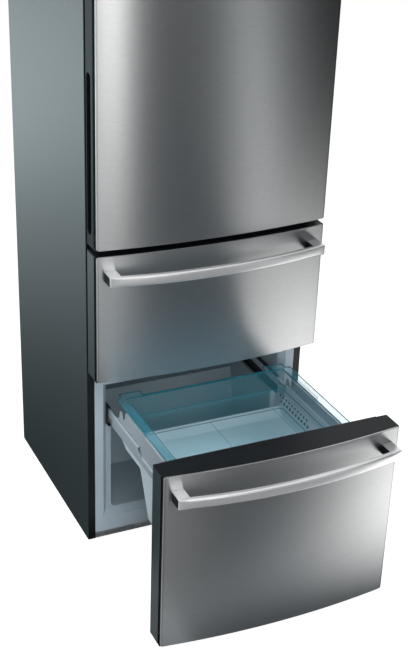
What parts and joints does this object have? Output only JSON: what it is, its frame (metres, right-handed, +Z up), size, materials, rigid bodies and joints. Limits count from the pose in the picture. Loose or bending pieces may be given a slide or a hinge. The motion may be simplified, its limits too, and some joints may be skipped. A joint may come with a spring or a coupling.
{
  "type": "bottom freezer refrigerator",
  "caption": "Tall free-standing bottom freezer refrigerator with a bowed steel door above two pull-out freezer drawers, the lower one open with its basket and tinted tray.",
  "frame": {"origin": "on the floor, half way across the cabinet, in the plane of the cabinet's front; with the lower drawer out this is the middle of the footprint", "axes": "+X to the right seen from the front, +Y to the back, +Z up"},
  "size_m": [0.6, 1.1109, 2],
  "materials": {
    "black_metal": "satin",
    "black_plastic": "satin",
    "clear_plastic": "gloss",
    "fin_aluminium": "satin",
    "foam": "matte",
    "gasket_rubber": "matte",
    "nylon": "matte",
    "painted_grey": "satin",
    "satin_aluminium": "satin",
    "shelf_glass": "gloss",
    "stainless": "satin",
    "tinted_plastic": "gloss",
    "white_metal": "satin",
    "white_plastic": "satin",
    "zinc_steel": "satin"
  },
  "bodies": {
    "cabinet": {"side_panel_left": "painted_grey", "side_panel_right": "painted_grey", "top_panel": "painted_grey", "rear_panel": "zinc_steel", "bottom_panel": "zinc_steel", "compressor_plate": "zinc_steel", "cabinet_foam": "foam", "fridge_liner": "white_plastic", "middle_liner": "white_plastic", "lower_liner": "white_plastic", "crossbars": "white_metal", "shelf_glasses": "shelf_glass", "shelf_trims": "white_plastic", "control_housing": "white_plastic", "hinge_top": "zinc_steel", "hinge_middle": "zinc_steel", "hinge_cover": "black_plastic", "slide_channels": "black_metal", "evaporator_cover": "white_plastic", "evaporator": "fin_aluminium", "fan_motor": "black_plastic", "compressor": "black_metal", "drip_tray": "nylon", "front_feet": "nylon", "condenser": "black_metal", "cord_gland": "black_plastic"},
    "fridge_door": {"fridge_door_skin": "stainless", "fridge_door_frame": "black_plastic", "fridge_door_sides": "painted_grey", "fridge_door_foam": "foam", "fridge_door_gasket": "gasket_rubber", "fridge_door_grip": "black_plastic", "fridge_door_liner": "white_plastic", "fridge_door_bins": "clear_plastic"},
    "middle_drawer": {"middle_drawer_skin": "stainless", "middle_drawer_frame": "black_plastic", "middle_drawer_sides": "painted_grey", "middle_drawer_foam": "foam", "middle_drawer_gasket": "gasket_rubber", "middle_drawer_handle": "satin_aluminium", "middle_drawer_panel": "white_plastic", "middle_drawer_rails": "white_metal", "middle_drawer_basket": "white_plastic"},
    "lower_drawer": {"lower_drawer_skin": "stainless", "lower_drawer_frame": "black_plastic", "lower_drawer_sides": "painted_grey", "lower_drawer_foam": "foam", "lower_drawer_gasket": "gasket_rubber", "lower_drawer_handle": "satin_aluminium", "lower_drawer_panel": "white_plastic", "lower_drawer_rails": "white_metal", "lower_drawer_basket": "white_plastic"},
    "middle_slides": {"middle_telescopes": "white_metal"},
    "lower_slides": {"lower_telescopes": "white_metal"},
    "tray": {"tinted_tray": "tinted_plastic"},
    "knob": {"thermostat_knob": "white_plastic"},
    "fan": {"fan_blade": "white_plastic"},
    "roller_left": {"roller_left": "nylon"},
    "roller_right": {"roller_right": "nylon"}
  },
  "joints": [
    {"name": "fridge_door_hinge", "type": "hinge", "parent": "cabinet", "child": "fridge_door", "pos_m": [0.288, -0.03, 0.9], "axis": [0, 0, 1], "range_deg": [0, 115]},
    {"name": "middle_drawer_slide", "type": "slide", "parent": "cabinet", "child": "middle_drawer", "axis": [0, -1, 0], "range_m": [0, 0.42]},
    {"name": "lower_drawer_slide", "type": "slide", "parent": "cabinet", "child": "lower_drawer", "axis": [0, -1, 0], "range_m": [-0.409, 0.011]},
    {"name": "middle_telescope_slide", "type": "slide", "parent": "cabinet", "child": "middle_slides", "axis": [0, -1, 0], "range_m": [0, 0.21]},
    {"name": "lower_telescope_slide", "type": "slide", "parent": "cabinet", "child": "lower_slides", "axis": [0, -1, 0], "range_m": [-0.2045, 0.0055]},
    {"name": "tray_slide", "type": "slide", "parent": "lower_drawer", "child": "tray", "axis": [0, -1, 0], "range_m": [0, 0.034]},
    {"name": "thermostat_turn", "type": "hinge", "parent": "cabinet", "child": "knob", "pos_m": [0.06, 0.142, 1.907], "axis": [0, 1, 0], "range_deg": [0, 270]},
    {"name": "fan_spin", "type": "hinge", "parent": "cabinet", "child": "fan", "pos_m": [0.14, 0.426, 0.378], "axis": [0, 1, 0], "continuous": true},
    {"name": "roller_left_spin", "type": "hinge", "parent": "cabinet", "child": "roller_left", "pos_m": [-0.24, 0.5, 0.018], "axis": [1, 0, 0], "continuous": true},
    {"name": "roller_right_spin", "type": "hinge", "parent": "cabinet", "child": "roller_right", "pos_m": [0.24, 0.5, 0.018], "axis": [1, 0, 0], "continuous": true}
  ],
  "couplings": [
    {"joint": "middle_telescope_slide", "follows": "middle_drawer_slide", "ratio": 0.5},
    {"joint": "lower_telescope_slide", "follows": "lower_drawer_slide", "ratio": 0.5}
  ]
}
